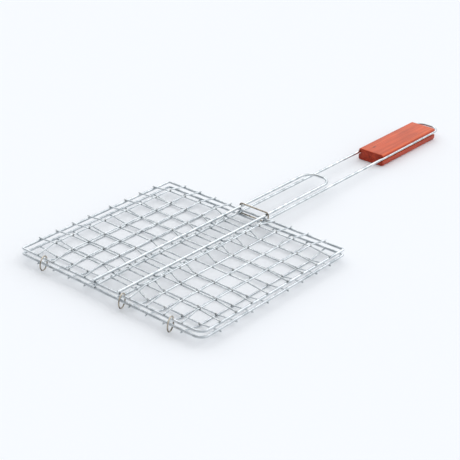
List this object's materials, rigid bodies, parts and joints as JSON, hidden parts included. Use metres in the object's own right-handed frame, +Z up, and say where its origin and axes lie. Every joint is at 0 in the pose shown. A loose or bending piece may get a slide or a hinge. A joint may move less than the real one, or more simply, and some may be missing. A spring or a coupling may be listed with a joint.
{
  "type": "grill basket",
  "caption": "Hinged wire grill basket with two shallow trays, a short loop handle, a long handle with a wooden grip, and a sliding wire clasp.",
  "frame": {"origin": "centre of the closed basket's bounding box, on the table plane", "axes": "+X from the hinge edge to the grip, +Z up, +Y across the basket"},
  "size_m": [0.6232, 0.264, 0.0209],
  "materials": {
    "plated_wire": "bright plated steel wire, spot welded",
    "bare_steel": "thin drawn steel wire with a brown tint",
    "varnished_wood": "red-brown varnished wood"
  },
  "bodies": {
    "lower_half": {"lower_frame": "plated_wire", "long_handle_wire": "plated_wire", "lower_cross_wire_1": "plated_wire", "lower_cross_wire_2": "plated_wire", "lower_cross_wire_3": "plated_wire", "lower_cross_wire_4": "plated_wire", "lower_cross_wire_5": "plated_wire", "lower_cross_wire_6": "plated_wire", "lower_cross_wire_7": "plated_wire", "lower_cross_wire_8": "plated_wire", "lower_long_wire_1": "plated_wire", "lower_long_wire_2": "plated_wire", "lower_long_wire_3": "plated_wire", "lower_long_wire_4": "plated_wire", "lower_long_wire_5": "plated_wire", "lower_long_wire_6": "plated_wire", "lower_long_wire_7": "plated_wire", "lower_long_wire_8": "plated_wire", "wooden_grip": "varnished_wood"},
    "upper_half": {"upper_frame": "plated_wire", "loop_handle_wire": "plated_wire", "upper_cross_wire_1": "plated_wire", "upper_cross_wire_2": "plated_wire", "upper_cross_wire_3": "plated_wire", "upper_cross_wire_4": "plated_wire", "upper_cross_wire_5": "plated_wire", "upper_cross_wire_6": "plated_wire", "upper_cross_wire_7": "plated_wire", "upper_cross_wire_8": "plated_wire", "upper_long_wire_1": "plated_wire", "upper_long_wire_2": "plated_wire", "upper_long_wire_3": "plated_wire", "upper_long_wire_4": "plated_wire", "upper_long_wire_5": "plated_wire", "upper_long_wire_6": "plated_wire", "upper_long_wire_7": "plated_wire", "upper_long_wire_8": "plated_wire"},
    "ring_1": {"hinge_ring_1": "bare_steel"},
    "ring_2": {"hinge_ring_2": "bare_steel"},
    "ring_3": {"hinge_ring_3": "bare_steel"},
    "clasp": {"sliding_clasp": "bare_steel"}
  },
  "joints": [
    {"name": "basket_fold", "type": "hinge", "parent": "lower_half", "child": "upper_half", "pos_m": [-0.30359, 0, 0.01044], "axis": [0, -1, 0], "range_deg": [0, 180]},
    {"name": "ring_1_turn", "type": "hinge", "parent": "lower_half", "child": "ring_1", "pos_m": [-0.30359, -0.09208, 0.01044], "axis": [0, -1, 0], "range_deg": [0, 90]},
    {"name": "ring_2_turn", "type": "hinge", "parent": "lower_half", "child": "ring_2", "pos_m": [-0.30359, -0.02525, 0.01044], "axis": [0, -1, 0], "range_deg": [0, 90]},
    {"name": "ring_3_turn", "type": "hinge", "parent": "lower_half", "child": "ring_3", "pos_m": [-0.30359, 0.09208, 0.01044], "axis": [0, -1, 0], "range_deg": [0, 90]},
    {"name": "clasp_slide", "type": "slide", "parent": "lower_half", "child": "clasp", "axis": [1, 0, 0], "range_m": [0, 0.225]}
  ],
  "couplings": [
    {"joint": "ring_1_turn", "follows": "basket_fold", "ratio": 0.5},
    {"joint": "ring_2_turn", "follows": "basket_fold", "ratio": 0.5},
    {"joint": "ring_3_turn", "follows": "basket_fold", "ratio": 0.5}
  ]
}
